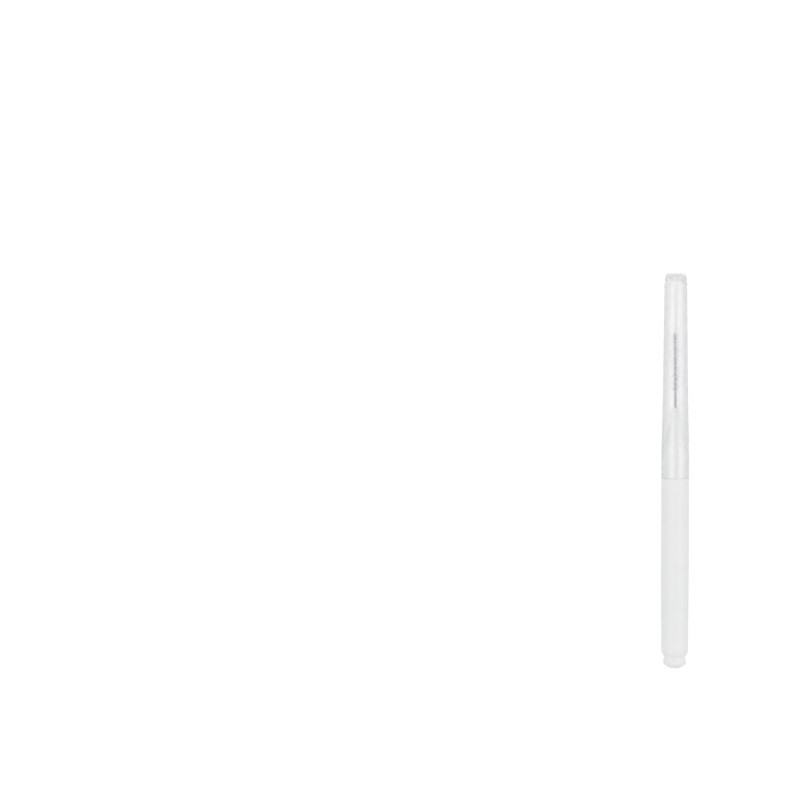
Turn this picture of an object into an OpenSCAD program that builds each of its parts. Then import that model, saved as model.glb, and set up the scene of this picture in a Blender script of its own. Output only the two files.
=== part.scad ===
// Interdental brush with a push-on travel cap
// It lies on its barrel along Y with the bristled tip towards +Y, and the origin is under its middle
// Heights along the brush are counted from the end of the rear post, in millimetres

/* [Barrel] */
// Diameter of the grip
barrel_d = 6.15; // [5:0.05:8]
// Length from the rear post to the seat of the cap
barrel_l = 39.6; // [25:0.1:70]
// How much the lower end is drafted, on the radius
barrel_draft = 0.1; // [0.02:0.01:0.2]
// Length of the drafted lower end
draft_l = 18; // [8:0.5:22]
// Length of the rounded bevel at the lower end
foot_bevel_l = 1.3; // [0.6:0.1:2.5]
// Rounding of the barrel's edge under the cap
seat_edge = 0.12; // [0.04:0.01:0.25]

/* [Rear post] */
// Length of the post with its button
post_l = 2.7; // [2.2:0.1:5]
// Length of the domed end
dome_l = 1.05; // [0.5:0.05:1.5]
// Length of the button's straight rim
rim_l = 0.3; // [0.1:0.05:0.5]
// Diameter of the flat end face
tip_face_d = 1.9; // [0.5:0.1:3]
// Depth of the waist under the rim
waist_t = 0.24; // [0.1:0.01:0.5]
// Ledge between the waist and the bevel
ledge_t = 0.15; // [0.05:0.01:0.3]
// Slack between the rim and the cap's bore
rim_slack = 0.19; // [0.05:0.01:0.4]
// Number of ribs round the waist
rib_count = 4; // [2:1:8]
// Width of a rib
rib_w = 1.04; // [0.4:0.02:1.2]
// How far the ribs stay under the rim
rib_inset = 0.02; // [0.01:0.01:0.1]
// Turn of the ribs round the post, in degrees
rib_turn = 51.5; // [0:0.5:90]

/* [Spigot and nose] */
// Length of the spigot inside the cap
spigot_l = 6.9; // [4:0.1:12]
// Rounding of the spigot's outer end
spigot_edge = 0.1; // [0.02:0.01:0.2]
// Length of the S-curved shoulder
shoulder_l = 7; // [4:0.1:12]
// Diameter where the shoulder meets the nose
nose_base_d = 2.3; // [1.8:0.05:3]
// Diameter of the nose at its end
nose_tip_d = 1.6; // [1:0.05:1.8]
// Length of the nose
nose_l = 1.9; // [1:0.1:4]
// Rounding of the nose's end
nose_edge = 0.2; // [0.05:0.01:0.25]

/* [Wire] */
// Diameter of the wire, of which two legs are twisted
wire_d = 0.24; // [0.12:0.01:0.3]
// Length of the bare stretch between nose and bristles
stem_l = 3.6; // [1:0.1:8]
// Length of the tails held in the nose
wire_seat_l = 5; // [2:0.1:8]
// Length of one turn among the bristles
head_pitch = 2.3; // [1.6:0.05:3.5]
// Length of one turn in the bare stretch
stem_pitch = 1.5; // [1.2:0.05:3]
// Room between the wire and what it lies against
wire_fit = 0.015; // [0.012:0.001:0.03]

/* [Bristles] */
// Length of the bristled stretch
brush_l = 12.85; // [6:0.05:18]
// Diameter of the brush across its bristles
brush_d = 2.1; // [1.2:0.1:3]
// Number of filaments clamped in the wire
filament_count = 190; // [150:1:250]
// Thickness of a filament at its end
filament_d = 0.05; // [0.03:0.005:0.055]
// Thickness of the row of filaments between the legs
web_t = 0.05; // [0.03:0.005:0.08]

/* [Cap] */
// Free length between the wire's tip and the closed end
tip_room = 12.3; // [2:0.1:25]
// Thickness of the closed end
cap_end_t = 0.8; // [0.6:0.05:2]
// Wall at the mouth
lip_t = 0.38; // [0.25:0.01:0.5]
// Wall at the top of the neck
neck_wall_t = 0.43; // [0.3:0.01:0.6]
// Wall at the closed end
cap_wall_t = 0.53; // [0.35:0.01:0.7]
// Clearance round the spigot
cap_fit = 0.03; // [0.02:0.005:0.08]
// Gap between the mouth and its seat
seat_gap = 0.04; // [0.02:0.01:0.1]
// Rounding of the mouth's outer edge
lip_edge = 0.22; // [0.05:0.01:0.23]
// Length of the band that grips the spigot
band_l = 7.35; // [4:0.05:10]
// Draft of that band, on the radius
band_draft = 0.04; // [0.01:0.01:0.08]
// Length over which the cap draws in above the band
neck_l = 10; // [4:0.5:14]
// How far it draws in there, on the radius
neck_draft = 0.21; // [0.05:0.01:0.3]
// How far the long upper part draws in, on the radius
upper_draft = 0.29; // [0.1:0.01:0.4]
// Length of the rounded closed end
crown_l = 2.95; // [2:0.05:4]
// Diameter of the flat top
crown_face_d = 3.9; // [2:0.1:4.2]
// How far the seat bore goes on above the end of the spigot
seat_room = 1.4; // [0.5:0.05:3]

/* [Hidden] */
$fn = 96;

// Colours of the mouldings, the wire and the filaments
handle_colour = [0.95, 0.95, 0.94];
cap_colour = [0.86, 0.89, 0.93, 0.4];
wire_colour = [0.62, 0.63, 0.65];
bristle_colour = [0.93, 0.94, 0.96];

// Radii that follow from the grip, so that cap, spigot and post stay a fit
barrel_r = barrel_d / 2;
foot_r = barrel_r - barrel_draft;
cap_bore_r = barrel_r - lip_t;
spigot_r = cap_bore_r - cap_fit;
rim_r = cap_bore_r - rim_slack;
waist_r = rim_r - waist_t;
ledge_r = waist_r + ledge_t;
tip_face_r = tip_face_d / 2;
nose_base_r = nose_base_d / 2;
nose_tip_r = nose_tip_d / 2;

// Heights of the handle's stations
rim_top = dome_l + rim_l;
seat_z = post_l + barrel_l;
spigot_top = seat_z + spigot_l;
nose_base = spigot_top + shoulder_l;
nose_top = nose_base + nose_l;

// The wire: each leg winds round the axis at leg_r, with the web of filaments between the two
wire_r = wire_d / 2;
leg_r = web_t / 2 + wire_fit + wire_r;
wire_bore_r = leg_r + wire_r + wire_fit;
wire_start = nose_top - wire_seat_l;
bore_floor = wire_start - wire_r - wire_fit;
head_start = nose_top + stem_l;
head_end = head_start + brush_l;
loop_base = head_end + wire_r / 2;
wire_top = loop_base + leg_r + wire_r;

// The twist dies out under the folded tip and tightens below the bristles
twist_fade = 3 * leg_r;
twist_blend = stem_l / 4;
twist_turn = 67.3;
wire_sides = 8;
turn_steps = 12;
loop_steps = 8;

// The filaments leave the legs beside the wire and are trimmed to a slightly uneven outline
web_share = 0.5;
web_half_w = leg_r * web_share;
filament_step = brush_l / filament_count;
trim_share = 0.035;
lean_step = filament_step - filament_d;

// The cap
cap_mouth = seat_z + seat_gap;
cap_floor = wire_top + tip_room;
total_l = cap_floor + cap_end_t;
band_top = cap_mouth + band_l;
neck_top = band_top + neck_l;
crown_base = total_l - crown_l;
band_r = barrel_r - band_draft;
neck_r = band_r - neck_draft;
crown_r = neck_r - upper_draft;
crown_face_r = crown_face_d / 2;
chamber_r = neck_r - neck_wall_t;
chamber_top_r = crown_r - cap_wall_t;
bore_top = spigot_top + seat_room;
dome_share = 0.83;
chamber_dome_l = chamber_top_r * dome_share;

// How early the shoulder starts to draw in
shoulder_skew_share = 0.85;

// Cuts run past the faces that they open by this much
overrun = 0.5;

// Smooth rise from 0 to 1
function ease(t) = (1 - cos(180 * t)) / 2;

// Points of a curve from a to c that leans towards the corner b
function bend(a, b, c, steps) =
    [for (i = [0 : steps]) let (t = i / steps) (1 - t) * (1 - t) * a + 2 * t * (1 - t) * b + t * t * c];

// Points of an S-curve from radius and height a to c, skewed by a power of the way along it
function sweep(a, c, skew_share, steps) = [for (i = [0 : steps]) let (
    t = i / steps,
    drawn = ease(pow(t, skew_share))
) [a[0] + (c[0] - a[0]) * drawn, a[1] + (c[1] - a[1]) * t]];

// Lays a piece that was built standing on its foot
module laid() {
    translate([0, -total_l / 2, barrel_r]) rotate([-90, 0, 0]) children();
}

// Outline of the handle, from the flat end of the post up to the nose, as radius and height
handle_outline = concat(
    [[0, 0]],
    bend([tip_face_r, 0], [(tip_face_r + 2 * rim_r) / 3, dome_l / 3], [rim_r, dome_l], 9),
    sweep([rim_r, rim_top], [waist_r, post_l], 1, 10),
    bend([ledge_r, post_l], [foot_r, post_l + foot_bevel_l / 2], [foot_r, post_l + foot_bevel_l], 9),
    [[barrel_r, post_l + draft_l]],
    bend([barrel_r, seat_z - seat_edge], [barrel_r, seat_z], [barrel_r - seat_edge, seat_z], 4),
    [[spigot_r, seat_z]],
    bend([spigot_r, spigot_top - spigot_edge], [spigot_r, spigot_top],
        [spigot_r - spigot_edge / 2, spigot_top + spigot_edge], 3),
    sweep([spigot_r - spigot_edge / 2, spigot_top + spigot_edge], [nose_base_r, nose_base],
        shoulder_skew_share, 18),
    bend([nose_tip_r, nose_top - nose_edge], [nose_tip_r, nose_top], [nose_tip_r - nose_edge, nose_top], 5),
    [[0, nose_top]]
);

// Ribs that fill the waist nearly out to the rim
module waist_ribs() {
    rib_r = rim_r - rib_inset;
    rib_top = post_l + foot_bevel_l / 2;
    intersection() {
        translate([0, 0, dome_l]) cylinder(r = rib_r, h = rib_top - dome_l);
        for (i = [0 : rib_count - 1]) rotate(rib_turn + i * 360 / rib_count)
            translate([0, -rib_w / 2, dome_l]) cube([barrel_r, rib_w, rib_top - dome_l]);
    }
}

// Barrel, rear post, spigot, shoulder and nose in one moulding, bored for the wire
module handle() {
    color(handle_colour) laid() difference() {
        union() {
            rotate_extrude() polygon(handle_outline);
            waist_ribs();
        }
        translate([0, 0, bore_floor]) cylinder(r = wire_bore_r, h = nose_top - bore_floor + overrun);
    }
}

// Section of the cap's wall, outside from the top down and inside from the mouth up
cap_outline = concat(
    [[0, total_l]],
    bend([crown_face_r, total_l], [crown_r, total_l - crown_l / 6], [crown_r, crown_base], 12),
    [[neck_r, neck_top], [band_r, band_top]],
    bend([barrel_r, cap_mouth + lip_edge], [barrel_r, cap_mouth], [barrel_r - lip_edge, cap_mouth], 4),
    [[cap_bore_r, cap_mouth], [cap_bore_r, bore_top], [chamber_r, neck_top]],
    bend([chamber_top_r, cap_floor - chamber_dome_l], [chamber_top_r, cap_floor], [0, cap_floor], 12)
);

// Clear closed sleeve that seats on the spigot
module cap() {
    color(cap_colour) laid() rotate_extrude() polygon(cap_outline);
}

// Integral of a ramp that climbs from 0 to 1 and stays there
function ramp_sum(x) = x < 0 ? 0 : x < 1 ? x * x / 2 : x - 1 / 2;

// Turn of the wire at a height, left-handed, in degrees
function twist(z) = let (
    below_tip = twist_fade * ramp_sum((loop_base - z) / twist_fade),
    below_head = twist_blend * ramp_sum((head_start - z) / twist_blend)
) twist_turn + 360 * (below_tip / head_pitch + below_head * (1 / stem_pitch - 1 / head_pitch));

// Unit vector across the axis at an angle
function spoke(a) = [cos(a), sin(a), 0];

// Centre of a leg at a height, on the side +1 or -1
function leg_at(z, side) = side * leg_r * spoke(twist(z)) + [0, 0, z];

// Direction of a leg at a height, upwards
function leg_run(z, side) =
    let (d = leg_at(z + wire_r, side) - leg_at(z - wire_r, side)) d / norm(d);

// Ring of a leg: its centre and the two unit vectors that its section lies in
function leg_frame(z, side) =
    let (out = side * spoke(twist(z))) [leg_at(z, side), out, cross(side * leg_run(z, side), out)];

// Ring of the folded tip, at an angle from 0 on the first leg to 180 on the second
function loop_frame(a) = let (
    flat = spoke(twist(loop_base)),
    out = cos(a) * flat + [0, 0, sin(a)]
) [leg_r * out + [0, 0, loop_base], out, cross([0, 0, 1], flat)];

// Heights of the rings, a fixed number to each turn
stem_rings = ceil((head_start - wire_start) / stem_pitch * turn_steps);
head_rings = ceil((loop_base - head_start) / head_pitch * turn_steps);
ring_heights = concat(
    [for (i = [0 : stem_rings - 1]) wire_start + (head_start - wire_start) * i / stem_rings],
    [for (i = [0 : head_rings]) head_start + (loop_base - head_start) * i / head_rings]
);
ring_last = len(ring_heights) - 1;

// Up the first leg, over the folded tip and down the second
wire_frames = concat(
    [for (z = ring_heights) leg_frame(z, 1)],
    [for (i = [1 : loop_steps - 1]) loop_frame(180 * i / loop_steps)],
    [for (i = [0 : ring_last]) leg_frame(ring_heights[ring_last - i], -1)]
);

// One wire folded double at the tip and twisted
module wire() {
    rings = len(wire_frames);
    last = (rings - 1) * wire_sides;
    points = [for (f = wire_frames, k = [0 : wire_sides - 1])
        f[0] + wire_r * (cos(360 * k / wire_sides) * f[1] + sin(360 * k / wire_sides) * f[2])];
    skin = [for (j = [0 : rings - 2], k = [0 : wire_sides - 1], half = [0, 1])
        let (
            a = j * wire_sides + k,
            b = j * wire_sides + (k + 1) % wire_sides,
            c = a + wire_sides,
            d = b + wire_sides
        ) half == 0 ? [a, c, d] : [a, d, b]];
    ends = [for (k = [1 : wire_sides - 2], top = [0, 1])
        top == 0 ? [0, k, k + 1] : [last, last + k + 1, last + k]];
    color(wire_colour) laid() polyhedron(points = points, faces = concat(skin, ends));
}

// Corners of the web at one height: two at the first edge and two at the second
function web_corners(i) = let (
    z = head_start + i * filament_step,
    along = web_half_w * spoke(twist(z) + 90),
    across = web_t / 2 * spoke(twist(z) + 180),
    up = [0, 0, z]
) [up + along + across, up + along - across, up - along - across, up - along + across];

// Corners of a strand's end, in the order of its root, on the side +1 or -1
function strand_corners(i, side) = let (
    z = head_start + (i + 1 / 2) * filament_step,
    reach = brush_d / 2 * (1 - trim_share * (1 + sin(97 * i + 50 * side))),
    lean = lean_step * 2 * sin(11 * i * side),
    out = side * spoke(twist(z) + 90),
    wide = filament_d / 2 * cross([0, 0, 1], out),
    tall = [0, 0, filament_d / 2],
    centre = reach * out + [0, 0, z + lean]
) [centre - wide - tall, centre - wide + tall, centre + wide + tall, centre + wide - tall];

// Four walls and the end of a strand, from its root's corners r to its end's corners e
function strand_faces(r, e) = concat(
    [for (k = [0 : 3], half = [0, 1])
        let (n = (k + 1) % 4) half == 0 ? [r[k], r[n], e[n]] : [r[k], e[n], e[k]]],
    [[e[0], e[1], e[2]], [e[0], e[2], e[3]]]
);

// Filaments clamped between the legs, each standing out on both sides of their common web
module bristles() {
    last = filament_count;
    tips = 4 * (last + 1);
    points = concat(
        [for (i = [0 : last]) each web_corners(i)],
        [for (i = [0 : last - 1]) each concat(strand_corners(i, 1), strand_corners(i, -1))]
    );
    webs = [for (i = [0 : last - 1], side = [0, 2], half = [0, 1])
        let (
            a = 4 * i + side,
            b = 4 * i + (side + 3) % 4
        ) half == 0 ? [a, a + 4, b + 4] : [a, b + 4, b]];
    strands = [for (i = [0 : last - 1])
        let (
            w = 4 * i,
            s = tips + 8 * i
        ) each concat(
            strand_faces([w + 1, w + 5, w + 4, w], [s, s + 1, s + 2, s + 3]),
            strand_faces([w + 3, w + 7, w + 6, w + 2], [s + 4, s + 5, s + 6, s + 7])
        )];
    top = 4 * last;
    ends = [[3, 2, 1], [3, 1, 0], [top, top + 1, top + 2], [top, top + 2, top + 3]];
    color(bristle_colour) laid() polyhedron(points = points, faces = concat(webs, strands, ends));
}

handle();
cap();
wire();
bristles();
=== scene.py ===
"""Interdental brush with a push-on travel cap, dressed for a plain white studio.

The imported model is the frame, and four finer meshes stand for its four pieces: the moulded handle, the wire
twisted round the filaments, the filaments themselves and the clear cap. Sizes are in millimetres and are
measured as on a drawing: a height runs along the brush from the flat end of the rear post, and a radius runs
out from its axis. `Stations.lay_down` turns such a shape into the frame, in metres, where the brush lies
along Y.
"""

import logging
import math
from collections.abc import Sequence
from dataclasses import dataclass
from enum import Enum
from typing import Any

import bpy
import numpy as np
from numpy.typing import NDArray
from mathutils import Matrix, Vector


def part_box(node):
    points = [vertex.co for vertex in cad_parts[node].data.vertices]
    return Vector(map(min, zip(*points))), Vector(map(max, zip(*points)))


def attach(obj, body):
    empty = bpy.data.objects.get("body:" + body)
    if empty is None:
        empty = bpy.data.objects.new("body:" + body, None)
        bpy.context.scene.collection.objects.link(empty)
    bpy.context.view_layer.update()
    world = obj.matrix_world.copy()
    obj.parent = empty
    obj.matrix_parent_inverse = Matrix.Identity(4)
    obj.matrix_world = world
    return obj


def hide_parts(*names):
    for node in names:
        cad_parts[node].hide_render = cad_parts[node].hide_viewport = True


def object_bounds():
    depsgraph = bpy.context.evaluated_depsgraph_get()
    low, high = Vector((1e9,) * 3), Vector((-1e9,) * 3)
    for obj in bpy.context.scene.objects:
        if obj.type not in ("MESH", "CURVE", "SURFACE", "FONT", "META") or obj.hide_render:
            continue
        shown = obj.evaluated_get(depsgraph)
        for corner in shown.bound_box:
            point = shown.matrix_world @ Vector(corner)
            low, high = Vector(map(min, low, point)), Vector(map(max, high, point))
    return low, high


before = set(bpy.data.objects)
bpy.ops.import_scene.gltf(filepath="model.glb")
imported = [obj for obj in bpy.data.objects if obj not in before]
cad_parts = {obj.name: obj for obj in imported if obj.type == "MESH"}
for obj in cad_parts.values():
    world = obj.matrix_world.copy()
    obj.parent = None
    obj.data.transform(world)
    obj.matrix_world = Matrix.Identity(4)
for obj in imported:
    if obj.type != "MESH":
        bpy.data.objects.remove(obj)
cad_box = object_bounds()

Array = NDArray[np.float64]
Pair = Sequence[float] | Array
Material = bpy.types.Material
Mesh = bpy.types.Mesh
Node = bpy.types.Node
Tree = bpy.types.NodeTree

log = logging.getLogger("interdental_brush")

MM = 0.001
RIGHT = np.array([1.0, 0.0, 0.0])
UP = np.array([0.0, 0.0, 1.0])
WHITE = (1.0, 1.0, 1.0, 1.0)
PHOTO_PX = 800


class Body(Enum):
    """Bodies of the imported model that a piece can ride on."""

    HANDLE = "handle"
    CAP = "cap"


class Slot(Enum):
    """Names of the material slots in the record."""

    WHITE_MOULDING = "white_moulding"
    CLEAR_MOULDING = "clear_moulding"
    STEEL_WIRE = "steel_wire"
    NYLON_FILAMENT = "nylon_filament"


@dataclass(frozen=True)
class Stations:
    """Sizes that the frame gives, and those that more than one piece is built to."""

    total_l: float
    barrel_r: float
    nose_top: float
    wire_top: float
    cap_mouth: float
    wire_seat_l: float = 5.0
    wire_r: float = 0.12
    wire_fit: float = 0.015

    @property
    def wire_start(self) -> float:
        """Height at which the two tails of the wire begin, inside the nose."""
        return self.nose_top - self.wire_seat_l

    @property
    def bore_floor(self) -> float:
        """Bottom of the bore that holds the tails, clear of their slanted ends."""
        return self.wire_start - self.wire_r - self.wire_fit

    @classmethod
    def from_frame(cls) -> "Stations":
        """Reads the stations from the boxes of the frame's nodes, to a thousandth of a millimetre.

        Returns:
            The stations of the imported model.
        """
        low, high = cad_box
        foot = low.y

        def height(node: str, corner: int) -> float:
            """Height of a node's lowest (0) or highest (1) corner above the end of the rear post."""
            return round((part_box(node)[corner].y - foot) / MM, 3)

        return cls(
            total_l=round((high.y - foot) / MM, 3),
            barrel_r=round((high.z - low.z) / 2 / MM, 3),
            nose_top=height("handle", 1),
            wire_top=height("wire", 1),
            cap_mouth=height("cap", 0),
        )

    def lay_down(self, points: Array) -> Array:
        """Lays points (x, y, z) down in the frame, as (x, z - total_l / 2, barrel_r - y) in metres."""
        x, y, z = np.moveaxis(points, -1, 0)
        return np.stack([x, z - self.total_l / 2, self.barrel_r - y], axis=-1) * MM


# Curves and outlines


def unit(vectors: Array) -> Array:
    """Scales vectors along the last axis to a length of 1."""
    return vectors / np.linalg.norm(vectors, axis=-1, keepdims=True)


def running_length(points: Array) -> Array:
    """Length of a line from its first point to each of its points, added up stretch by stretch."""
    return np.r_[0, np.cumsum(np.linalg.norm(np.diff(points, axis=0), axis=1))]


def even_turns(count: int) -> Array:
    """Evenly spaced angles over one whole turn, in radians."""
    return np.arange(count) * 2 * np.pi / count


def bend(start: Pair, corner: Pair, end: Pair, steps: int) -> Array:
    """Samples a curve that leans towards a corner.

    The point at t is (1 - t)^2 start + 2 t (1 - t) corner + t^2 end, with t from 0 to 1.

    Args:
        start: First point as radius and height, or a stack of them with an axis for the samples.
        corner: Point that the curve leans towards, or a stack.
        end: Last point, or a stack.
        steps: Number of stretches between the samples.

    Returns:
        The samples, one a row.
    """
    t = np.linspace(0, 1, steps + 1)[:, None]
    return (1 - t) ** 2 * np.asarray(start) + 2 * t * (1 - t) * np.asarray(corner) + t**2 * np.asarray(end)


def sweep(start: Pair, end: Pair, skew: float, steps: int) -> Array:
    """Samples an S-curve between two stations of a turned outline.

    The height goes evenly from start to end, and the radius follows half a cosine wave of t to the power
    skew.

    Args:
        start: First radius and height.
        end: Last radius and height.
        skew: Power of the way along, under 1 where the radius changes early.
        steps: Number of stretches between the samples.

    Returns:
        The samples, one a row.
    """
    t = np.linspace(0, 1, steps + 1)
    drawn = (1 - np.cos(np.pi * t**skew)) / 2
    return np.stack([start[0] + (end[0] - start[0]) * drawn, start[1] + (end[1] - start[1]) * t], axis=1)


def soften(points: Array, rounding: Array, steps: int = 6, hold: float = 0.02) -> Array:
    """Rounds chosen corners of an outline.

    A corner p with a rounding r becomes the curve from p - r u to p + r v that leans towards p, where u and
    v are the unit directions of the lines before and after it. A point just outside each end of the curve
    holds the shading of the flats beside it.

    Args:
        points: Corners of the outline, one a row.
        rounding: Rounding of each corner, or 0 to keep the point as it is.
        steps: Stretches in each curve.
        hold: Distance of the holding points from the curve's ends.

    Returns:
        The outline with its corners rounded.
    """
    runs = unit(np.diff(points, axis=0))
    before = np.vstack([runs[:1], runs])[:, None]
    after = np.vstack([runs, runs[-1:]])[:, None]
    corner, reach = points[:, None], rounding[:, None, None]
    start, end = corner - reach * before, corner + reach * after
    curve = bend(start, corner, end, steps)
    held = np.concatenate([start - hold * before, curve, end + hold * after], axis=1)
    kept = np.repeat(rounding[:, None] > 0, held.shape[1], axis=1)
    kept[:, held.shape[1] // 2] = True
    return held[kept]


def outline(*stretches: tuple[Pair, float]) -> Array:
    """Joins stretches of an outline and rounds the corner at the start of each.

    Args:
        stretches: Pairs of a point or rows of samples, and the rounding of the first point.

    Returns:
        The whole outline as radius and height, one point a row.
    """
    rows = [np.atleast_2d(np.asarray(points, float)) for points, _ in stretches]
    rounding = [np.r_[r, np.zeros(len(row) - 1)] for row, (_, r) in zip(rows, stretches)]
    return soften(np.vstack(rows), np.concatenate(rounding))


# Meshes


def closed_tubes(name: str, rings: Array, ends: Array, along: Array, around: Array) -> Mesh:
    """Makes a mesh of closed tubes, each a grid of rings with a fan of triangles on either end.

    Vertex k of ring j is joined to its neighbours k + 1 and j + 1, and the last vertex of a ring to the
    first, so a tube has no seam. Faces point outwards where the rings turn anticlockwise about the way
    along.

    Args:
        name: Name of the mesh.
        rings: Points by tube, ring, side and axis.
        ends: Middle of each tube's first and last ring, by tube, end and axis.
        along: Length along the tube at each ring, for the second texture coordinate.
        around: Length round the tube at each side and once more at the first, for the first coordinate.

    Returns:
        The mesh, smooth shaded, with a map of the lengths along and around named "run".
    """
    tubes, count, sides = rings.shape[:3]
    side = np.arange(sides)
    beside = (side + 1) % sides
    base = np.arange(count - 1)[:, None] * sides
    a, b = (base + side).ravel(), (base + beside).ravel()
    quads = np.stack([a, b, b + sides, a + sides], axis=1)
    top, pole = (count - 1) * sides, count * sides
    fans = np.vstack([
        np.stack([beside, side, np.full(sides, pole)], axis=1),
        np.stack([top + side, top + beside, np.full(sides, pole + 1)], axis=1),
    ])
    shift = (np.arange(tubes) * (pole + 2))[:, None, None]
    corners = np.concatenate([(quads + shift).ravel(), (fans + shift).ravel()])
    totals = np.r_[np.full(tubes * len(quads), 4), np.full(tubes * len(fans), 3)]
    points = np.concatenate([rings.reshape(tubes, -1, 3), ends], axis=1).reshape(-1, 3)

    left, right, low, high = around[:-1], around[1:], along[:-1], along[1:]
    grid = (count - 1, sides, 4)
    quad_u = np.broadcast_to(np.stack([left, right, right, left], axis=1), grid)
    quad_v = np.broadcast_to(np.stack([low, low, high, high], axis=1)[:, None], grid)
    fan_u = np.vstack([np.stack([right, left, left], axis=1), np.stack([left, right, left], axis=1)])
    fan_v = np.repeat(along[[0, -1]], 3 * sides)
    uv = np.concatenate([
        np.tile(np.stack([quad_u.ravel(), quad_v.ravel()], axis=1), (tubes, 1)),
        np.tile(np.stack([fan_u.ravel(), fan_v], axis=1), (tubes, 1)),
    ])

    mesh = bpy.data.meshes.new(name)
    mesh.vertices.add(len(points))
    mesh.vertices.foreach_set("co", points.astype(np.float32).ravel())
    mesh.loops.add(len(corners))
    mesh.loops.foreach_set("vertex_index", corners.astype(np.int32))
    mesh.polygons.add(len(totals))
    mesh.polygons.foreach_set("loop_start", np.r_[0, np.cumsum(totals)[:-1]].astype(np.int32))
    mesh.polygons.foreach_set("use_smooth", np.ones(len(totals), bool))
    mesh.update(calc_edges=True)
    mesh.uv_layers.new(name="run").data.foreach_set("uv", uv.astype(np.float32).ravel())
    mesh.validate()
    return mesh


def turned(name: str, profile: Array, radii: Array, angles: Array, at: Stations) -> Mesh:
    """Turns an outline round the brush's axis.

    The point of ring j at angle a is (radii[j, a] cos a, radii[j, a] sin a, height[j]). The outline starts
    and ends on the axis, and its first and last points become the poles.

    Args:
        name: Name of the mesh.
        profile: Outline as radius and height, one point a row.
        radii: Radius of each ring at each angle, without the two poles.
        angles: Angles of the columns, in radians.
        at: Sizes that lay the shape down in the frame.

    Returns:
        The closed mesh.
    """
    heights = np.broadcast_to(profile[1:-1, 1:], radii.shape)
    rings = np.stack([radii * np.cos(angles), radii * np.sin(angles), heights], axis=-1)
    poles = profile[[0, -1], 1:] * UP
    around = np.r_[angles, angles[0] + 2 * np.pi] * at.barrel_r
    return closed_tubes(name, at.lay_down(rings[None]), at.lay_down(poles[None]),
                        running_length(profile[1:-1]), around)


def place(mesh: Mesh, material: Material, body: Body, node: str) -> None:
    """Puts a finished mesh into the scene in place of a node of the frame.

    Args:
        mesh: The mesh, already in the frame.
        material: Its finish.
        body: The body that it moves with.
        node: The node that it stands for.
    """
    piece = bpy.data.objects.new(mesh.name, mesh)
    bpy.context.scene.collection.objects.link(piece)
    mesh.materials.append(material)
    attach(piece, body.value)
    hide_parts(node)
    log.info("%s rides %s with %d faces", piece.name, body.value, len(mesh.polygons))


# Materials


def linear(hex_colour: str) -> tuple[float, float, float, float]:
    """Turns an sRGB colour into linear light.

    A share s becomes s / 12.92 up to 0.04045, and ((s + 0.055) / 1.055)^2.4 above it.

    Args:
        hex_colour: The colour, such as "#EDEEED".

    Returns:
        Linear red, green and blue, and an alpha of 1.
    """
    shares = np.array([int(hex_colour[i : i + 2], 16) for i in (1, 3, 5)]) / 255
    rgb = np.where(shares <= 0.04045, shares / 12.92, ((shares + 0.055) / 1.055) ** 2.4)
    return (*rgb.tolist(), 1.0)


def add_node(tree: Tree, kind: str, inputs: dict[str | int, Any] | None = None, **settings: Any) -> Node:
    """Adds a node to a tree, with its settings and links.

    Args:
        tree: The tree that takes the node.
        kind: The node's type.
        inputs: What goes into its sockets, by name or number: an output of another node, another node whose
            first live output is meant, or a value.
        settings: Properties of the node itself, set first because they say which sockets are live.

    Returns:
        The new node.
    """
    node = tree.nodes.new(kind)
    for name, value in settings.items():
        setattr(node, name, value)
    for key, value in (inputs or {}).items():
        if isinstance(value, Node):
            value = next(output for output in value.outputs if output.enabled)
        if isinstance(value, bpy.types.NodeSocket):
            tree.links.new(value, node.inputs[key])
        else:
            node.inputs[key].default_value = value
    return node


def new_material(name: str) -> tuple[Material, Tree]:
    """Makes an empty node material.

    Args:
        name: Its name.

    Returns:
        The material and its tree.
    """
    material = bpy.data.materials.new(name)
    material.use_nodes = True
    material.node_tree.nodes.clear()
    return material, material.node_tree


def shown_rays(tree: Tree) -> Node:
    """Adds the test for rays that are seen: from the camera, in a reflection or through something clear.

    Args:
        tree: The tree that takes the test.

    Returns:
        The test, 1 for such a ray and 0 for others.
    """
    rays = add_node(tree, "ShaderNodeLightPath").outputs
    seen = rays["Is Camera Ray"]
    for other in ("Is Glossy Ray", "Is Transmission Ray"):
        seen = add_node(tree, "ShaderNodeMath", {0: seen, 1: rays[other]}, operation="ADD", use_clamp=True)
    return seen


def lit_through(tree: Tree, shader: Node) -> Node:
    """Lets light pass straight through a clear shader on its way to what lies behind it.

    Args:
        tree: The material's tree.
        shader: The shader that is seen.

    Returns:
        The mix that takes the shader's place.
    """
    clear = add_node(tree, "ShaderNodeBsdfTransparent", {"Color": WHITE})
    rays = add_node(tree, "ShaderNodeLightPath").outputs
    for passing in ("Is Diffuse Ray", "Is Shadow Ray"):
        shader = add_node(tree, "ShaderNodeMixShader", {0: rays[passing], 1: shader, 2: clear})
    return shader


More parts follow.
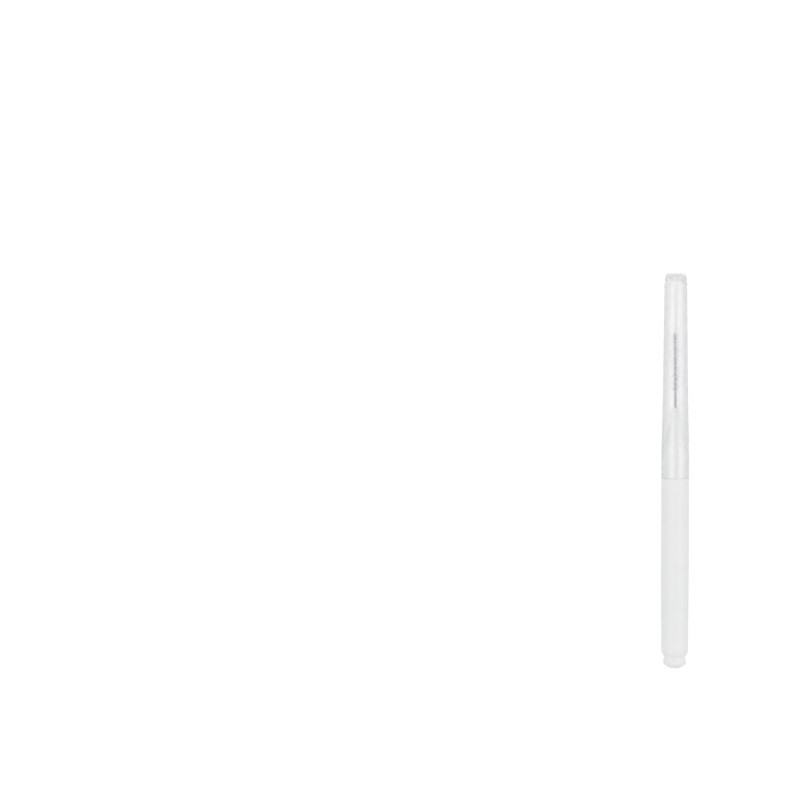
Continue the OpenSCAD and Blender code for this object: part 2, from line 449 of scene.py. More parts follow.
@dataclass(frozen=True)
class SatinWhitePolypropylene:
    """White polypropylene, injection moulded in a finely spark-eroded cavity.

    The eye gets a soft satin white with no clear reflections, a grain that only breaks up the sheen, faint
    cloudiness from the flow of the melt, and a hair-fine line where the halves of the mould met.
    """

    colour: str = "#ECECEB"
    flow_colour: str = "#E6E7E8"
    flow_mm: float = 9.0
    flow_detail: float = 3.0
    # Least and greatest roughness over the grain
    roughness: tuple[float, float] = (0.41, 0.51)
    ior: float = 1.49
    # How much of the light goes into the plastic, and how far
    scatter_share: float = 0.12
    scatter_mm: float = 0.4
    # The real grain is about 0.02 mm and is drawn coarser, so that it still shows from a step away
    grain_mm: float = 0.14
    grain_detail: float = 2.0
    grain_depth_mm: float = 0.006
    # The parting line is a ridge, and this is half its width
    parting_w_mm: float = 0.05
    parting_h_mm: float = 0.012

    def material(self, parting_deg: float, axis_z: float) -> Material:
        """Builds the node material.

        Args:
            parting_deg: Turn of the parting plane about the brush's axis, from the horizontal.
            axis_z: Height of the axis in the frame, in metres.

        Returns:
            The material.
        """
        material, tree = new_material("satin_white_polypropylene")
        where = add_node(tree, "ShaderNodeTexCoord").outputs["Object"]
        flow, grain = (
            add_node(tree, "ShaderNodeTexNoise",
                     {"Vector": where, "Scale": 1 / (size * MM), "Detail": detail})
            for size, detail in ((self.flow_mm, self.flow_detail), (self.grain_mm, self.grain_detail))
        )
        tint = add_node(tree, "ShaderNodeMix",
                        {0: flow, 6: linear(self.colour), 7: linear(self.flow_colour)}, data_type="RGBA")
        sheen = add_node(tree, "ShaderNodeMapRange",
                         {"Value": grain, "To Min": self.roughness[0], "To Max": self.roughness[1]})
        turn = math.radians(parting_deg)
        centred = add_node(tree, "ShaderNodeVectorMath", {0: where, 1: (0, 0, axis_z)}, operation="SUBTRACT")
        off_plane = add_node(tree, "ShaderNodeVectorMath",
                             {0: centred, 1: (math.sin(turn), 0, math.cos(turn))}, operation="DOT_PRODUCT")
        distance = add_node(tree, "ShaderNodeMath", {0: off_plane}, operation="ABSOLUTE")
        seam = add_node(tree, "ShaderNodeMapRange", {
            "Value": distance,
            "From Max": self.parting_w_mm * MM,
            "To Min": self.parting_h_mm * MM,
            "To Max": 0.0,
        }, interpolation_type="SMOOTHSTEP")
        relief = add_node(tree, "ShaderNodeMath", {0: grain, 1: self.grain_depth_mm * MM, 2: seam},
                          operation="MULTIPLY_ADD")
        bump = add_node(tree, "ShaderNodeBump", {"Height": relief, "Distance": 1.0})
        surface = add_node(tree, "ShaderNodeBsdfPrincipled", {
            "Base Color": tint,
            "Roughness": sheen,
            "IOR": self.ior,
            "Normal": bump,
            "Subsurface Weight": self.scatter_share,
            "Subsurface Radius": (1.0, 1.0, 1.0),
            "Subsurface Scale": self.scatter_mm * MM,
        })
        add_node(tree, "ShaderNodeOutputMaterial", {"Surface": surface})
        return material


@dataclass(frozen=True)
class ClearPolypropylene:
    """Clarified polypropylene, injection moulded on a polished core.

    The eye sees through the thin wall, a little softly, and the long way through an edge is greyer. Its
    faces have a soft gloss, and a very shallow ripple along the cap, where the melt flowed, breaks up the
    long light and dark lines in it. The closed end turns frosted and milky towards its tip, where the core
    is left as it was turned.
    """

    # Tint that the light takes on inside the plastic, and how dense it is, per metre
    body_colour: str = "#DFE0E2"
    body_density: float = 150.0
    ior: float = 1.49
    # Roughness and clarity of the wall, and those of the frosted tip
    roughness: tuple[float, float] = (0.22, 0.36)
    clarity: tuple[float, float] = (1.0, 0.84)
    # Where the roughness and the milkiness begin and where they are full, measured from the closed end
    frost_mm: tuple[float, float] = (3.6, 1.6)
    milk_mm: tuple[float, float] = (2.7, 1.0)
    ripple_mm: float = 0.9
    ripple_detail: float = 1.0
    ripple_stretch: float = 30.0
    ripple_depth_mm: float = 0.001

    def material(self, end_y: float) -> Material:
        """Builds the node material.

        Args:
            end_y: Place of the closed end along the brush in the frame, in metres.

        Returns:
            The material.
        """
        material, tree = new_material("clear_polypropylene")
        where = add_node(tree, "ShaderNodeTexCoord").outputs["Object"]
        along = add_node(tree, "ShaderNodeSeparateXYZ", {"Vector": where}).outputs["Y"]
        roughness, clarity = (
            add_node(tree, "ShaderNodeMapRange", {
                "Value": along,
                "From Min": end_y - begun * MM,
                "From Max": end_y - full * MM,
                "To Min": wall,
                "To Max": tip,
            }, interpolation_type="SMOOTHSTEP")
            for (begun, full), (wall, tip) in ((self.frost_mm, self.roughness), (self.milk_mm, self.clarity))
        )
        drawn_out = add_node(tree, "ShaderNodeMapping",
                             {"Vector": where, "Scale": (1, 1 / self.ripple_stretch, 1)})
        ripple = add_node(tree, "ShaderNodeTexNoise", {
            "Vector": drawn_out,
            "Scale": 1 / (self.ripple_mm * MM),
            "Detail": self.ripple_detail,
        })
        bump = add_node(tree, "ShaderNodeBump", {"Height": ripple, "Distance": self.ripple_depth_mm * MM})
        body = add_node(tree, "ShaderNodeBsdfPrincipled", {
            "Base Color": WHITE,
            "Roughness": roughness,
            "IOR": self.ior,
            "Transmission Weight": clarity,
            "Normal": bump,
        })
        depth = add_node(tree, "ShaderNodeVolumeAbsorption",
                         {"Color": linear(self.body_colour), "Density": self.body_density})
        add_node(tree, "ShaderNodeOutputMaterial", {"Surface": lit_through(tree, body), "Volume": depth})
        return material


@dataclass(frozen=True)
class DrawnStainlessWire:
    """Austenitic stainless wire, drawn bright through a die.

    The eye gets a neutral grey metal whose highlights are drawn out along the wire by the die's fine lines.
    """

    colour: str = "#CDCDD0"
    line_colour: str = "#B1B1B5"
    # Least and greatest roughness over the lines
    roughness: tuple[float, float] = (0.23, 0.37)
    # Die lines are a few thousandths of a millimetre apart and are drawn coarser, to break up the highlight
    line_mm: float = 0.03
    line_detail: float = 2.0
    line_stretch: float = 40.0
    line_depth_mm: float = 0.002

    def material(self) -> Material:
        """Builds the node material on the wire's own map of lengths round and along it, in millimetres.

        Returns:
            The material.
        """
        material, tree = new_material("drawn_stainless_wire")
        run = add_node(tree, "ShaderNodeUVMap", uv_map="run")
        drawn_out = add_node(tree, "ShaderNodeMapping",
                             {"Vector": run, "Scale": (1, 1 / self.line_stretch, 1)})
        lines = add_node(tree, "ShaderNodeTexNoise",
                         {"Vector": drawn_out, "Scale": 1 / self.line_mm, "Detail": self.line_detail})
        tint = add_node(tree, "ShaderNodeMix",
                        {0: lines, 6: linear(self.colour), 7: linear(self.line_colour)}, data_type="RGBA")
        sheen = add_node(tree, "ShaderNodeMapRange",
                         {"Value": lines, "To Min": self.roughness[0], "To Max": self.roughness[1]})
        bump = add_node(tree, "ShaderNodeBump", {"Height": lines, "Distance": self.line_depth_mm * MM})
        surface = add_node(tree, "ShaderNodeBsdfPrincipled",
                           {"Base Color": tint, "Metallic": 1.0, "Roughness": sheen, "Normal": bump})
        add_node(tree, "ShaderNodeOutputMaterial", {"Surface": surface})
        return material


@dataclass(frozen=True)
class ExtrudedNylon:
    """Colourless nylon 6.12 filament, extruded and stretched.

    The eye gets fine pale threads that let some light through and catch a small bright line where they turn.
    Some of them are a little greyer than others.
    """

    colour: str = "#EEEFF1"
    shade_colour: str = "#E4E5E7"
    shade_mm: float = 0.5
    shade_detail: float = 2.0
    roughness: float = 0.28
    ior: float = 1.53
    clarity: float = 0.12

    def material(self) -> Material:
        """Builds the node material, which lamps shine through.

        Returns:
            The material.
        """
        material, tree = new_material("extruded_nylon_filament")
        where = add_node(tree, "ShaderNodeTexCoord").outputs["Object"]
        shade = add_node(tree, "ShaderNodeTexNoise",
                         {"Vector": where, "Scale": 1 / (self.shade_mm * MM), "Detail": self.shade_detail})
        tint = add_node(tree, "ShaderNodeMix",
                        {0: shade, 6: linear(self.colour), 7: linear(self.shade_colour)}, data_type="RGBA")
        surface = add_node(tree, "ShaderNodeBsdfPrincipled", {
            "Base Color": tint,
            "Roughness": self.roughness,
            "IOR": self.ior,
            "Transmission Weight": self.clarity,
        })
        add_node(tree, "ShaderNodeOutputMaterial", {"Surface": lit_through(tree, surface)})
        return material


@dataclass(frozen=True)
class StudioPaper:
    """White background paper.

    The eye gets a plain white sheet on which only the object's own soft shadow is left. For rays that are
    seen, most of its colour is its own, so that it stays white at the plain level of the lamps. Seen through
    the cap, its own light is turned down: a painted shade that stands for the cap's shadow on the paper.
    """

    colour: str = "#EFEFEF"
    own_light: float = 1.1
    # Own light for rays seen through the cap, turned down as painted shade for the cap's shadow on the paper
    painted_shade_light: float = 0.85
    own_share: float = 0.82

    def material(self) -> Material:
        """Builds the node material, plain paper for the light that it sends back to the object.

        Returns:
            The material.
        """
        material, tree = new_material("studio_paper")
        paper = add_node(tree, "ShaderNodeBsdfDiffuse", {"Color": linear(self.colour)})
        through = add_node(tree, "ShaderNodeLightPath").outputs["Is Transmission Ray"]
        # Painted shade: rays that come through the cap see the paper's own light turned down
        strength = add_node(tree, "ShaderNodeMapRange",
                            {"Value": through, "To Min": self.own_light, "To Max": self.painted_shade_light})
        light = add_node(tree, "ShaderNodeEmission", {"Strength": strength})
        share = add_node(tree, "ShaderNodeMath", {0: shown_rays(tree), 1: self.own_share},
                         operation="MULTIPLY")
        mixed = add_node(tree, "ShaderNodeMixShader", {0: share, 1: paper, 2: light})
        add_node(tree, "ShaderNodeOutputMaterial", {"Surface": mixed})
        # It lights nothing, so no sample is spent on it as a lamp
        material.cycles.emission_sampling = "NONE"
        return material


# The object


@dataclass(frozen=True)
class Handle:
    """The white moulding: rear post, grip barrel, spigot, shoulder and nose, bored for the wire."""

    stations: Stations
    post_l: float = 2.7
    dome_l: float = 1.05
    rim_l: float = 0.3
    tip_face_r: float = 0.95
    gate_r: float = 0.4
    gate_floor_share: float = 0.7
    gate_depth: float = 0.06
    rim_r: float = 2.505
    waist_r: float = 2.265
    ledge_r: float = 2.415
    ledge_draft: float = 0.05
    rib_count: int = 4
    rib_w: float = 1.04
    rib_inset: float = 0.02
    rib_turn_deg: float = 51.5
    rib_fillet: float = 0.06
    foot_draft: float = 0.1
    draft_l: float = 18.0
    foot_bevel_l: float = 1.3
    barrel_l: float = 39.6
    seat_edge: float = 0.12
    spigot_r: float = 2.665
    spigot_l: float = 6.9
    spigot_edge: float = 0.1
    nose_l: float = 1.9
    nose_base_r: float = 1.15
    nose_tip_r: float = 0.8
    nose_edge: float = 0.2
    shoulder_skew: float = 0.85
    bore_r: float = 0.295
    # Roundings of the corners that aren't drawn as curves of their own
    fine_round: float = 0.03
    gate_round: float = 0.02
    tip_round: float = 0.06
    seat_round: float = 0.05
    bore_round: float = 0.04
    draft_round: float = 3.0
    nose_round: float = 0.7
    # Stretches in the curves
    dome_steps: int = 20
    waist_steps: int = 32
    foot_steps: int = 28
    edge_steps: int = 6
    shoulder_steps: int = 48
    nose_steps: int = 10
    # Samples at the end of the shoulder that give way to the rounding of the nose's base
    shoulder_cut: int = 6
    # Columns round the moulding, and the closer ones over a rib's flank, as angles from the flank
    columns: int = 144
    flank_columns: int = 11
    flank_deg: tuple[float, float] = (-2.0, 3.0)
    least_gap_deg: float = 0.6

    def profile(self) -> Array:
        """Draws the outline from the end of the post up to the nose and down its bore.

        Returns:
            The outline as radius and height, one point a row.
        """
        at = self.stations
        seat_z = self.post_l + self.barrel_l
        spigot_top = seat_z + self.spigot_l
        nose_base = at.nose_top - self.nose_l
        foot_r = at.barrel_r - self.foot_draft
        neck_r = self.spigot_r - self.spigot_edge / 2
        bevel_end = self.post_l + self.foot_bevel_l
        dome_corner = [(self.tip_face_r + 2 * self.rim_r) / 3, self.dome_l / 3]
        return outline(
            ([0, self.gate_depth], 0),
            ([self.gate_r * self.gate_floor_share, self.gate_depth], self.fine_round),
            ([self.gate_r, 0], self.gate_round),
            (bend([self.tip_face_r, 0], dome_corner, [self.rim_r, self.dome_l], self.dome_steps)[:-1],
             self.tip_round),
            ([self.rim_r, self.dome_l], self.fine_round),
            (sweep([self.rim_r, self.dome_l + self.rim_l],
                   [self.waist_r, self.post_l - self.ledge_draft], 1, self.waist_steps), 0),
            (bend([self.ledge_r, self.post_l], [foot_r, self.post_l + self.foot_bevel_l / 2],
                  [foot_r, bevel_end], self.foot_steps), self.fine_round),
            ([at.barrel_r, self.post_l + self.draft_l], self.draft_round),
            (bend([at.barrel_r, seat_z - self.seat_edge], [at.barrel_r, seat_z],
                  [at.barrel_r - self.seat_edge, seat_z], self.edge_steps), 0),
            ([self.spigot_r, seat_z], self.seat_round),
            (bend([self.spigot_r, spigot_top - self.spigot_edge], [self.spigot_r, spigot_top],
                  [neck_r, spigot_top + self.spigot_edge], self.edge_steps), 0),
            (sweep([neck_r, spigot_top + self.spigot_edge], [self.nose_base_r, nose_base],
                   self.shoulder_skew, self.shoulder_steps)[1:-self.shoulder_cut], 0),
            ([self.nose_base_r, nose_base], self.nose_round),
            (bend([self.nose_tip_r, at.nose_top - self.nose_edge], [self.nose_tip_r, at.nose_top],
                  [self.nose_tip_r - self.nose_edge, at.nose_top], self.nose_steps), 0),
            ([self.bore_r, at.nose_top], self.bore_round),
            ([self.bore_r, at.bore_floor], self.bore_round),
            ([0, at.bore_floor], 0),
        )

    def columns_at(self) -> Array:
        """Spaces the columns evenly, with a closer set over both flanks of each rib.

        Returns:
            Their angles, in radians.
        """
        even = np.arange(self.columns) * 360 / self.columns
        half = np.degrees(np.arcsin(self.rib_w / 2 / self.rim_r))
        flank = half + np.linspace(*self.flank_deg, self.flank_columns)
        middles = self.rib_turn_deg + np.arange(self.rib_count)[:, None] * 360 / self.rib_count
        close = np.concatenate([middles + flank, middles - flank], axis=1).ravel() % 360
        gap = np.abs((even[:, None] - close[None] + 180) % 360 - 180).min(axis=1)
        return np.radians(np.sort(np.r_[even[gap > self.least_gap_deg], close]))

    def ribbed(self, profile: Array, angles: Array) -> Array:
        """Works out the radii of the rings, with the ribs filled in across the waist.

        A rib is a raised band whose radius falls away at its flanks by 2 rib_fillet e^2, where e grows by 1
        for every 2 rib_fillet across the flank. The surface is the smooth greater of the turned outline a
        and that band b: b + (a - b) h + k h (1 - h), where h goes from 0 to 1 as a - b goes from -k to k.

        Args:
            profile: The turned outline, without its poles.
            angles: Angles of the columns.

        Returns:
            Radii by ring and column.
        """
        base = np.broadcast_to(profile[:, :1], (len(profile), len(angles)))
        step = 2 * np.pi / self.rib_count
        off = (angles - math.radians(self.rib_turn_deg) + step / 2) % step - step / 2
        across = np.abs(np.sin(off)) * self.rim_r
        edge = np.clip((across - self.rib_w / 2 + self.rib_fillet / 2) / (2 * self.rib_fillet), 0, None)
        band = self.rim_r - self.rib_inset - 2 * self.rib_fillet * edge**2
        inside = (profile[:, 1] > self.dome_l) & (profile[:, 1] < self.post_l + self.foot_bevel_l)
        k = self.rib_fillet / 2
        h = np.clip((base - band + k) / (2 * k), 0, 1)
        joined = band + (base - band) * h + k * h * (1 - h)
        return np.where(inside[:, None], joined, base)

    def build(self) -> None:
        """Builds and dresses the handle."""
        profile, angles = self.profile(), self.columns_at()
        mesh = turned("moulded_handle", profile, self.ribbed(profile[1:-1], angles), angles, self.stations)
        parting = self.rib_turn_deg - 180 / self.rib_count
        finish = SatinWhitePolypropylene().material(parting, self.stations.barrel_r * MM)
        place(mesh, finish, Body.HANDLE, "handle")


@dataclass(frozen=True)
class TravelCap:
    """The clear moulding that pushes onto the spigot, with a rounded and flat-topped closed end."""

    stations: Stations
    bore_r: float = 2.695
    lip_edge: float = 0.22
    band_l: float = 7.35
    band_draft: float = 0.04
    neck_l: float = 10.0
    neck_draft: float = 0.21
    upper_draft: float = 0.29
    crown_l: float = 2.95
    crown_face_r: float = 1.95
    wall_t: float = 0.53
    end_t: float = 0.8
    seat_top: float = 50.6
    neck_wall_t: float = 0.43
    dome_share: float = 0.83
    gate_r: float = 0.45
    gate_floor_share: float = 0.7
    gate_depth: float = 0.08
    # Roundings of the corners that aren't drawn as curves of their own
    neck_round: float = 2.0
    band_round: float = 1.5
    mouth_round: float = 0.05
    crown_round: float = 0.12
    gate_round: float = 0.03
    # Stretches in the curves
    dome_steps: int = 24
    lip_steps: int = 8
    crown_steps: int = 28
    # Samples at the end of the crown's bend that give way to the rounding of its face
    crown_cut: int = 3
    columns: int = 192

    def profile(self) -> Array:
        """Draws the section of the wall, from inside the closed end down to the mouth and up the outside.

        Returns:
            The section as radius and height, one point a row.
        """
        at = self.stations
        band_r = at.barrel_r - self.band_draft
        neck_r = band_r - self.neck_draft
        crown_r = neck_r - self.upper_draft
        band_top = at.cap_mouth + self.band_l
        neck_top = band_top + self.neck_l
        crown_base = at.total_l - self.crown_l
        floor_z = at.total_l - self.end_t
        top_r = crown_r - self.wall_t
        dome_l = top_r * self.dome_share
        return outline(
            ([0, floor_z], 0),
            (bend([0, floor_z], [top_r, floor_z], [top_r, floor_z - dome_l], self.dome_steps)[1:], 0),
            ([neck_r - self.neck_wall_t, neck_top], self.neck_round),
            ([self.bore_r, self.seat_top], self.band_round),
            ([self.bore_r, at.cap_mouth], self.mouth_round),
            (bend([at.barrel_r - self.lip_edge, at.cap_mouth], [at.barrel_r, at.cap_mouth],
                  [at.barrel_r, at.cap_mouth + self.lip_edge], self.lip_steps), 0),
            ([band_r, band_top], self.band_round),
            ([neck_r, neck_top], self.neck_round),
            (bend([crown_r, crown_base], [crown_r, at.total_l - self.crown_l / 6],
                  [self.crown_face_r, at.total_l], self.crown_steps)[:-self.crown_cut], 0),
            ([self.crown_face_r, at.total_l], self.crown_round),
            ([self.gate_r, at.total_l], self.gate_round),
            ([self.gate_r * self.gate_floor_share, at.total_l - self.gate_depth], self.gate_round),
            ([0, at.total_l - self.gate_depth], 0),
        )

    def build(self) -> None:
        """Builds and dresses the cap."""
        profile = self.profile()
        radii = np.broadcast_to(profile[1:-1, :1], (len(profile) - 2, self.columns))
        mesh = turned("clear_cap", profile, radii, even_turns(self.columns), self.stations)
        finish = ClearPolypropylene().material(self.stations.total_l / 2 * MM)
        place(mesh, finish, Body.CAP, "cap")


@dataclass(frozen=True)
class WireLay:
    """How the two legs of the wire wind round each other, left-handed, with the filaments between them."""

    stations: Stations
    leg_r: float = 0.16
    head_start: float = 61.7
    head_end: float = 74.55
    head_pitch: float = 2.3
    stem_pitch: float = 1.5
    turn_deg: float = 67.3
    # Lengths over which the twist begins below the tip and tightens below the bristles
    fade_l: float = 0.48
    change_l: float = 0.9
    # How far the tip stands off the brush's axis, because the wire sits a little askew in the nose
    tip_lean: float = 0.18

    @property
    def loop_base(self) -> float:
        """Height at which the legs run into the folded tip."""
        return self.stations.wire_top - self.leg_r - self.stations.wire_r

    def angle(self, z: Array) -> Array:
        """Works out the turn of the first leg at a height.

        It grows downwards by one turn a pitch. A ramp that climbs from 0 to 1 and stays there fades the
        twist in below the tip, and another tightens it below the bristles. Their running sums are added up.

        Args:
            z: Heights.

        Returns:
            Angles in radians, one for each height.
        """

        def ramp_sum(x: Array) -> Array:
            """Running sum of the ramp: x^2 / 2 up to 1, and x - 1/2 beyond."""
            return np.where(x < 1, np.clip(x, 0, None) ** 2 / 2, x - 0.5)

        below_tip = self.fade_l * ramp_sum((self.loop_base - z) / self.fade_l)
        below_head = self.change_l * ramp_sum((self.head_start - z) / self.change_l)
        turns = below_tip / self.head_pitch + below_head * (1 / self.stem_pitch - 1 / self.head_pitch)
        return np.radians(self.turn_deg) + 2 * np.pi * turns

    @staticmethod
    def spoke(angle: Array) -> Array:
        """Unit vectors across the axis at the given angles."""
        return np.stack([np.cos(angle), np.sin(angle), np.zeros_like(angle)], axis=-1)

    def leaned(self, points: Array) -> Array:
        """Leans points with the wire.

        Above the nose, a point moves to the left by tip_lean times its share of the way to the wire's tip.

        Args:
            points: Points in millimetres, in any array whose last axis is x, y, z.

        Returns:
            The moved points.
        """
        free_l = self.stations.wire_top - self.stations.nose_top
        share = np.clip((points[..., 2] - self.stations.nose_top) / free_l, 0, None)
        return points - self.tip_lean * share[..., None] * RIGHT


@dataclass(frozen=True)
class TwistedWire:
    """One stainless wire folded double at the tip and twisted."""

    lay: WireLay
    sides: int = 16
    rings_a_turn: int = 36
    loop_rings: int = 24

    def centreline(self) -> tuple[Array, Array]:
        """Works out the route of the wire and the direction that its section starts from.

        A leg at height z lies at leg_r times the spoke of its angle. The tip is half a circle of radius
        leg_r from one leg to the other: leg_r (cos a spoke + sin a up), with a from 0 to half a turn.

        Returns:
            The points of the route, up one leg and down the other, and at each the unit vector away from
            the brush's axis or from the middle of the fold.
        """
        lay = self.lay
        ends = np.array([lay.stations.wire_start, lay.loop_base])
        turns = np.ptp(lay.angle(ends)) / (2 * np.pi)
        z = np.linspace(*ends, int(turns * self.rings_a_turn))
        out = lay.spoke(lay.angle(z))
        rise = z[:, None] * UP
        a = np.linspace(0, np.pi, self.loop_rings + 1)[1:-1, None]
        fold = np.cos(a) * out[-1] + np.sin(a) * UP
        route = np.vstack([lay.leg_r * out + rise, lay.leg_r * fold + lay.loop_base * UP,
                           (rise - lay.leg_r * out)[::-1]])
        return route, np.vstack([out, fold, -out[::-1]])

    def build(self) -> None:
        """Builds and dresses the wire: a circle of radius wire_r carried square to its route."""
        at = self.lay.stations
        route, out = self.centreline()
        ahead = unit(np.gradient(route, axis=0))
        beside = unit(np.cross(ahead, out))
        turn = even_turns(self.sides)[:, None]
        circle = np.cos(turn) * np.cross(beside, ahead)[:, None] + np.sin(turn) * beside[:, None]
        rings = self.lay.leaned(route[:, None] + at.wire_r * circle)
        mesh = closed_tubes("twisted_wire", at.lay_down(rings[None]), at.lay_down(route[[0, -1]][None]),
                            running_length(route), np.linspace(0, 2 * np.pi * at.wire_r, self.sides + 1))
        place(mesh, DrawnStainlessWire().material(), Body.HANDLE, "wire")


@dataclass(frozen=True)
class BristleHead:
    """Nylon filaments clamped between the legs, so that they stand out in a double helix."""

    lay: WireLay
    filaments: int = 240
    filament_r: float = 0.022
    brush_r: float = 1.05
    # Greatest share of its reach that a trimmed thread loses
    trim_share: float = 0.05
    # Spread of the threads' angles, and the most that one of them turns away
    fan_deg: float = 2.2
    fan_limit_deg: float = 14.0
    # Spreads of how far their ends lean along the brush and bow across it
    lean: float = 0.05
    bow: float = 0.025
    sides: int = 5
    # Places of a thread's rings, as shares of its reach
    ring_shares: tuple[float, ...] = (-1.0, -0.55, 0.0, 0.55, 1.0)
    seed: int = 11

    def build(self) -> None:
        """Builds and dresses the filaments.

        Filament i crosses the axis at an even height with a little scatter, square to the line between the
        legs. The point at share s of its length, from -1 to 1, is s reach along that direction, plus bow s^2
        across it, plus lean s^2 along the brush, and is drawn in where it would pass brush_r. Reach, bow and
        lean differ a little between threads and between the two halves of each.
        """
        lay, at, rng = self.lay, self.lay.stations, np.random.default_rng(self.seed)
        count = self.filaments
        step = (lay.head_end - lay.head_start) / count
        z = lay.head_start + (np.arange(count) + 0.5) * step
        z = np.clip(z + rng.normal(0, step, count),
                    lay.head_start + self.filament_r, lay.head_end - self.filament_r)
        fan = rng.normal(0, self.fan_deg, count).clip(-self.fan_limit_deg, self.fan_limit_deg)
        angle = lay.angle(z) + np.pi / 2 + np.radians(fan)
        along = lay.spoke(angle)
        beside = lay.spoke(angle + np.pi / 2)
        s = np.array(self.ring_shares)
        reach = np.where(s < 0, *(self.brush_r * (1 - self.trim_share * rng.random((2, count, 1)) ** 2)))
        bows = np.where(s < 0, *rng.normal(0, self.bow, (2, count, 1)))
        leans = np.where(s < 0, *rng.normal(0, self.lean, (2, count, 1)))
        route = ((s * reach)[..., None] * along[:, None] + (bows * s**2)[..., None] * beside[:, None]
                 + (z[:, None] + leans * s**2)[..., None] * UP)
        off_axis = np.linalg.norm(route[..., :2], axis=-1, keepdims=True)
        route[..., :2] /= np.maximum(1, off_axis / self.brush_r)
        turn = even_turns(self.sides)[:, None]
        circle = np.cos(turn) * UP + np.sin(turn) * -beside[:, None, None, :]
        rings = lay.leaned(route[:, :, None] + self.filament_r * circle)
        mesh = closed_tubes("nylon_bristles", at.lay_down(rings), at.lay_down(lay.leaned(route[:, [0, -1]])),
                            s * self.brush_r, np.linspace(0, 2 * np.pi * self.filament_r, self.sides + 1))
        place(mesh, ExtrudedNylon().material(), Body.HANDLE, "bristles")


# The studio


@dataclass(frozen=True)
class Softbox:
    """One large soft lamp that shines on the brush from beside the camera."""

    name: str
    lean_deg: float
    radiance: float
    width: float = 0.42
    length: float = 0.9
    distance: float = 0.6

    def build(self) -> None:
        """Adds the lamp. Its power is its radiance times its area times pi."""
        data = bpy.data.lights.new(self.name, "AREA")
        data.shape = "RECTANGLE"
        data.size, data.size_y = self.width, self.length
        data.energy = self.radiance * self.width * self.length * math.pi
        lamp = bpy.data.objects.new(self.name, data)
        lean = math.radians(self.lean_deg)
        lamp.location = (self.distance * math.sin(lean), 0, self.distance * math.cos(lean))
        lamp.rotation_euler = (0, lean, 0)
        lamp.visible_camera = False
        bpy.context.scene.collection.objects.link(lamp)


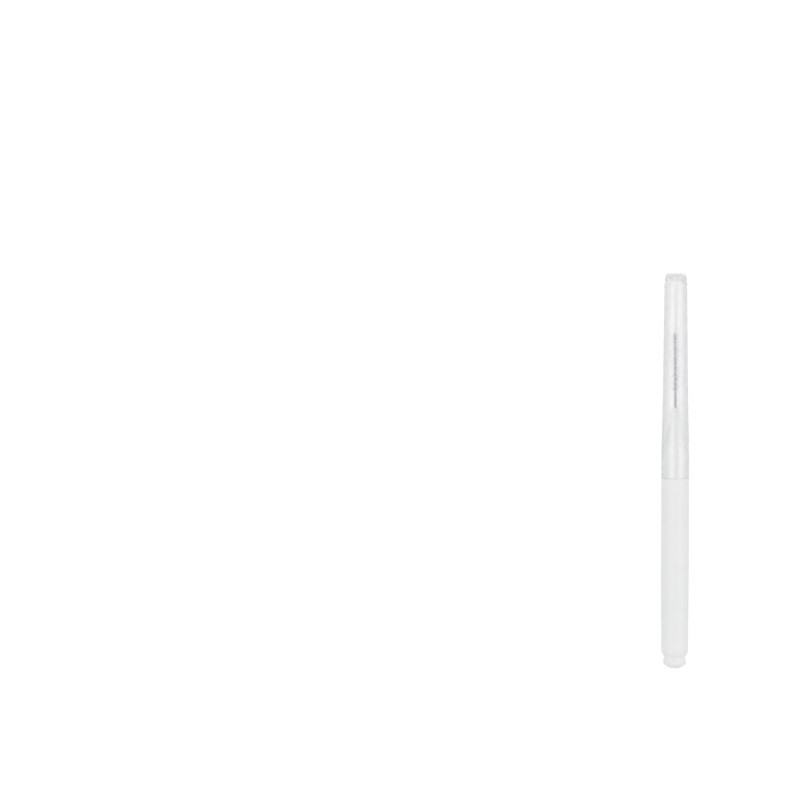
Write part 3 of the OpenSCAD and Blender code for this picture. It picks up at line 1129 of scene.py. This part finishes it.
@dataclass(frozen=True)
class Studio:
    """White paper, even soft light and a camera straight above, as the photograph was taken."""

    stations: Stations
    lens_mm: float = 85.0
    sensor_mm: float = 36.0
    px_mm: float = 0.2233
    # Middle of the brush in the photograph, in pixels from its left and upper edges
    middle_px: tuple[float, float] = (675.2, 470.9)
    roll_deg: float = 0.2
    floor_size: float = 6.0
    softboxes: tuple[Softbox, ...] = (
        Softbox("softbox_left", lean_deg=-36.0, radiance=0.95),
        Softbox("softbox_right", lean_deg=40.0, radiance=0.9),
    )
    # The sky's light on the scene, and how bright its parts are for rays that are seen
    sky_light: float = 0.67
    sky_seen: float = 1.0
    ceiling_seen: float = 0.6
    ceiling_through: float = 0.92
    band_seen: float = 0.2
    # Angles from straight up at which the ceiling begins and is full, and from the band's middle plane at
    # which the band begins to fade and ends
    ceiling_deg: tuple[float, float] = (70.0, 35.0)
    band_deg: tuple[float, float] = (8.0, 24.0)
    # Enough for a ray that is turned back inside the cap's wall, or that goes through it and the bristles
    bounces: int = 32
    clear_bounces: int = 64

    def build_floor(self) -> None:
        """Lays the paper under the brush."""
        half = self.floor_size / 2
        mesh = bpy.data.meshes.new("paper")
        mesh.from_pydata([(-half, -half, 0), (half, -half, 0), (half, half, 0), (-half, half, 0)], [],
                         [(0, 1, 2, 3)])
        mesh.materials.append(StudioPaper().material())
        floor = bpy.data.objects.new("paper", mesh)
        bpy.context.scene.collection.objects.link(floor)

    def build_sky(self) -> None:
        """Lights the scene evenly, with a sky that is white round the horizon and darker overhead.

        The darkest part is the band between the softboxes, which runs the same way as the brush. What comes
        through the cap's wall from the sides is lighter than what its face reflects.
        """
        world = bpy.data.worlds.new("white_studio")
        world.use_nodes = True
        tree = world.node_tree
        tree.nodes.clear()
        way = add_node(tree, "ShaderNodeTexCoord").outputs["Generated"]
        split = add_node(tree, "ShaderNodeSeparateXYZ", {"Vector": way}).outputs
        beside = add_node(tree, "ShaderNodeMath", {0: split["X"]}, operation="ABSOLUTE")
        through = add_node(tree, "ShaderNodeLightPath").outputs["Is Transmission Ray"]
        side = add_node(tree, "ShaderNodeMapRange",
                        {"Value": through, "To Min": self.ceiling_seen, "To Max": self.ceiling_through})
        low, high = (math.cos(math.radians(angle)) for angle in self.ceiling_deg)
        ceiling, band = (
            add_node(tree, "ShaderNodeMapRange", {
                "Value": split["Z"],
                "From Min": low,
                "From Max": high,
                "To Min": self.sky_seen,
                "To Max": level,
            }, interpolation_type="SMOOTHSTEP")
            for level in (side, self.band_seen)
        )
        near, far = (math.sin(math.radians(angle)) for angle in self.band_deg)
        overhead = add_node(tree, "ShaderNodeMapRange", {
            "Value": beside,
            "From Min": near,
            "From Max": far,
            "To Min": band,
            "To Max": ceiling,
        }, interpolation_type="SMOOTHSTEP")
        light, seen = (
            add_node(tree, "ShaderNodeBackground", {"Color": WHITE, "Strength": level})
            for level in (self.sky_light, overhead)
        )
        mixed = add_node(tree, "ShaderNodeMixShader", {0: shown_rays(tree), 1: light, 2: seen})
        add_node(tree, "ShaderNodeOutputWorld", {"Surface": mixed})
        bpy.context.scene.world = world

    def build_camera(self) -> None:
        """Sets the camera so that a pixel at the height of the brush's axis is px_mm wide."""
        data = bpy.data.cameras.new("photo_camera")
        data.lens, data.sensor_width = self.lens_mm, self.sensor_mm
        camera = bpy.data.objects.new("photo_camera", data)
        distance = self.lens_mm / self.sensor_mm * self.px_mm * PHOTO_PX
        roll = math.radians(self.roll_deg)
        right = (PHOTO_PX / 2 - self.middle_px[0]) * self.px_mm
        up = (self.middle_px[1] - PHOTO_PX / 2) * self.px_mm
        camera.location = (
            (right * math.cos(roll) - up * math.sin(roll)) * MM,
            (right * math.sin(roll) + up * math.cos(roll)) * MM,
            (self.stations.barrel_r + distance) * MM,
        )
        camera.rotation_euler = (0, 0, roll)
        bpy.context.scene.collection.objects.link(camera)
        bpy.context.scene.camera = camera

    def build(self) -> None:
        """Builds the camera, the paper, the sky and the softboxes, and sets how far rays are followed."""
        self.build_camera()
        self.build_floor()
        self.build_sky()
        for box in self.softboxes:
            box.build()
        bpy.context.scene.view_settings.view_transform = "Standard"
        cycles = bpy.context.scene.cycles
        cycles.max_bounces = cycles.glossy_bounces = cycles.transmission_bounces = self.bounces
        cycles.transparent_max_bounces = self.clear_bounces


def main() -> None:
    """Builds the studio and the four pieces."""
    logging.basicConfig(level=logging.INFO, format="%(name)s: %(message)s")
    stations = Stations.from_frame()
    log.info("stations from the frame: %s", stations)
    Studio(stations).build()
    lay = WireLay(stations)
    pieces = (Handle(stations), TwistedWire(lay), BristleHead(lay), TravelCap(stations))
    for piece in pieces:
        piece.build()
    log.info("%d pieces built", len(pieces))


if __name__ == "__main__":
    main()
